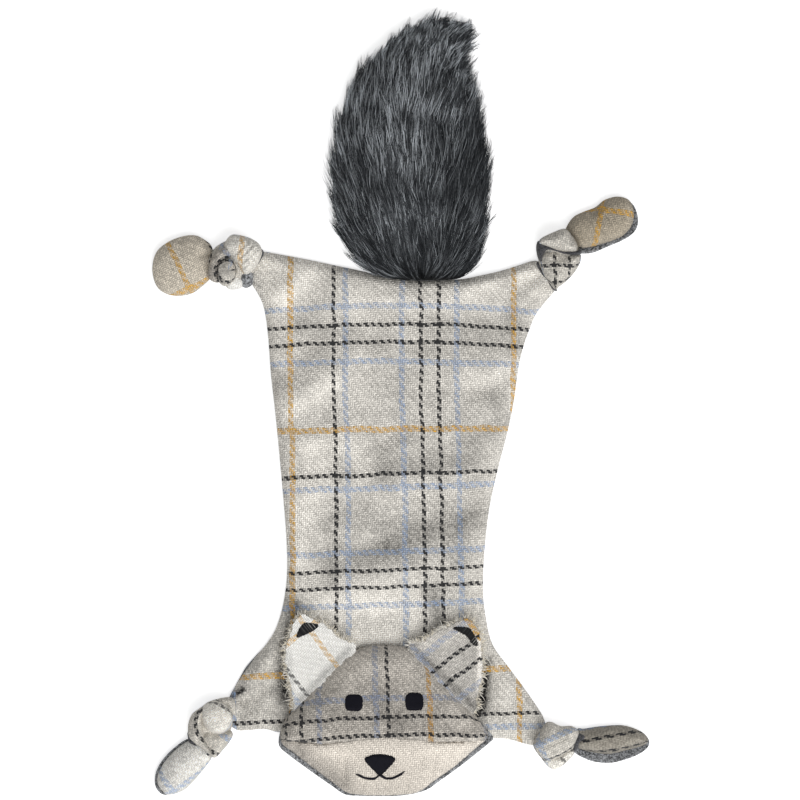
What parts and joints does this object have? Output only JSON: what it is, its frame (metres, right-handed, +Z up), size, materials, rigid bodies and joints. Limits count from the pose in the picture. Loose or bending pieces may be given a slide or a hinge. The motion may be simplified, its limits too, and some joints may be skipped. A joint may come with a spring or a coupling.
{
  "type": "dog toy",
  "caption": "Flat plush dog toy shaped like an animal pelt, with a tartan body, long-piled tail, knotted legs and flap ears, made to shake, tug and squeak.",
  "frame": {"origin": "on the surface that the toy lies on, under the middle of its outline", "axes": "+X to the right as seen from above with the tail away from the viewer, +Y from the chin to the tip of the tail, +Z up, through the cloth"},
  "size_m": [0.2548, 0.4014, 0.025],
  "materials": {
    "tartan_wool": "brushed twill wool, beige with dark, blue and orange lines",
    "cream_wool": "plain brushed wool, cream",
    "grey_felt": "pressed felt, blue grey",
    "dark_fur": "long-piled artificial fur, charcoal with pale tips",
    "dark_thread": "satin-stitched embroidery thread, near black",
    "pale_thread": "sewing thread",
    "wadding": "loose polyester wadding",
    "crinkle_film": "thin crackling film",
    "squeaker_plastic": "soft moulded plastic"
  },
  "bodies": {
    "torso": {"torso_front_panel": "tartan_wool", "torso_back_panel": "grey_felt", "crinkle_sheet": "crinkle_film", "neck_seam_thread": "pale_thread"},
    "head": {"forehead_panel": "tartan_wool", "muzzle_panel": "cream_wool", "head_back_panel": "grey_felt", "head_filling": "wadding", "head_squeaker_bulb": "squeaker_plastic", "head_squeaker_reed": "squeaker_plastic", "eye_left": "dark_thread", "eye_right": "dark_thread", "nose": "dark_thread", "mouth": "dark_thread"},
    "ear_left": {"ear_left": "tartan_wool", "ear_tip_left": "dark_thread"},
    "ear_right": {"ear_right": "tartan_wool", "ear_tip_right": "dark_thread"},
    "tail": {"tail_front_fur": "dark_fur", "tail_back_fur": "dark_fur", "tail_filling": "wadding", "tail_squeaker_bulb": "squeaker_plastic", "tail_squeaker_reed": "squeaker_plastic"},
    "knot_rear_left": {"knot_rear_left": "tartan_wool"},
    "paw_rear_left": {"paw_front_rear_left": "tartan_wool", "paw_back_rear_left": "grey_felt"},
    "knot_rear_right": {"knot_rear_right": "tartan_wool"},
    "paw_rear_right": {"paw_front_rear_right": "tartan_wool", "paw_back_rear_right": "grey_felt"},
    "knot_front_left": {"knot_front_left": "tartan_wool"},
    "paw_front_left": {"paw_front_front_left": "tartan_wool", "paw_back_front_left": "grey_felt"},
    "knot_front_right": {"knot_front_right": "tartan_wool"},
    "paw_front_right": {"paw_front_front_right": "tartan_wool", "paw_back_front_right": "grey_felt"}
  },
  "joints": [
    {"name": "neck_fold", "type": "hinge", "parent": "torso", "child": "head", "pos_m": [-0.00554, -0.16931, 0.0065], "axis": [1, 0, 0], "range_deg": [0, 90]},
    {"name": "ear_fold_left", "type": "hinge", "parent": "head", "child": "ear_left", "pos_m": [-0.02393, -0.12235, 0.012], "axis": [0.7063, 0.7079, 0], "range_deg": [0, 105]},
    {"name": "ear_fold_right", "type": "hinge", "parent": "head", "child": "ear_right", "pos_m": [0.0062, -0.12235, 0.012], "axis": [0.7063, -0.7079, 0], "range_deg": [0, 105]},
    {"name": "tail_fold", "type": "hinge", "parent": "torso", "child": "tail", "pos_m": [0.00766, 0.06269, 0.0023], "axis": [1, 0, 0], "range_deg": [-90, 90]},
    {"name": "leg_swing_rear_left", "type": "hinge", "parent": "torso", "child": "knot_rear_left", "pos_m": [-0.06978, 0.06965, 0.0042], "axis": [0.2756, 0.9613, 0], "range_deg": [-45, 45]},
    {"name": "paw_swing_rear_left", "type": "hinge", "parent": "knot_rear_left", "child": "paw_rear_left", "pos_m": [-0.09842, 0.07326, 0.008], "axis": [-0.0175, 0.9998, 0], "range_deg": [-45, 45]},
    {"name": "leg_swing_rear_right", "type": "hinge", "parent": "torso", "child": "knot_rear_right", "pos_m": [0.07189, 0.06513, 0.0042], "axis": [0.7071, -0.7071, 0], "range_deg": [-45, 45]},
    {"name": "paw_swing_rear_right", "type": "hinge", "parent": "knot_rear_right", "child": "paw_rear_right", "pos_m": [0.09408, 0.08396, 0.008], "axis": [0.5878, -0.809, 0], "range_deg": [-45, 45]},
    {"name": "leg_swing_front_left", "type": "hinge", "parent": "torso", "child": "knot_front_left", "pos_m": [-0.08399, -0.15574, 0.0042], "axis": [-0.5736, 0.8192, 0], "range_deg": [-45, 45]},
    {"name": "paw_swing_front_left", "type": "hinge", "parent": "knot_front_left", "child": "paw_front_left", "pos_m": [-0.10502, -0.17557, 0.008], "axis": [-0.7771, 0.6293, 0], "range_deg": [-45, 45]},
    {"name": "leg_swing_front_right", "type": "hinge", "parent": "torso", "child": "knot_front_right", "pos_m": [0.0687, -0.1649, 0.0042], "axis": [-0.5736, -0.8192, 0], "range_deg": [-45, 45]},
    {"name": "paw_swing_front_right", "type": "hinge", "parent": "knot_front_right", "child": "paw_front_right", "pos_m": [0.09535, -0.17296, 0.008], "axis": [0, -1, 0], "range_deg": [-45, 45]}
  ]
}
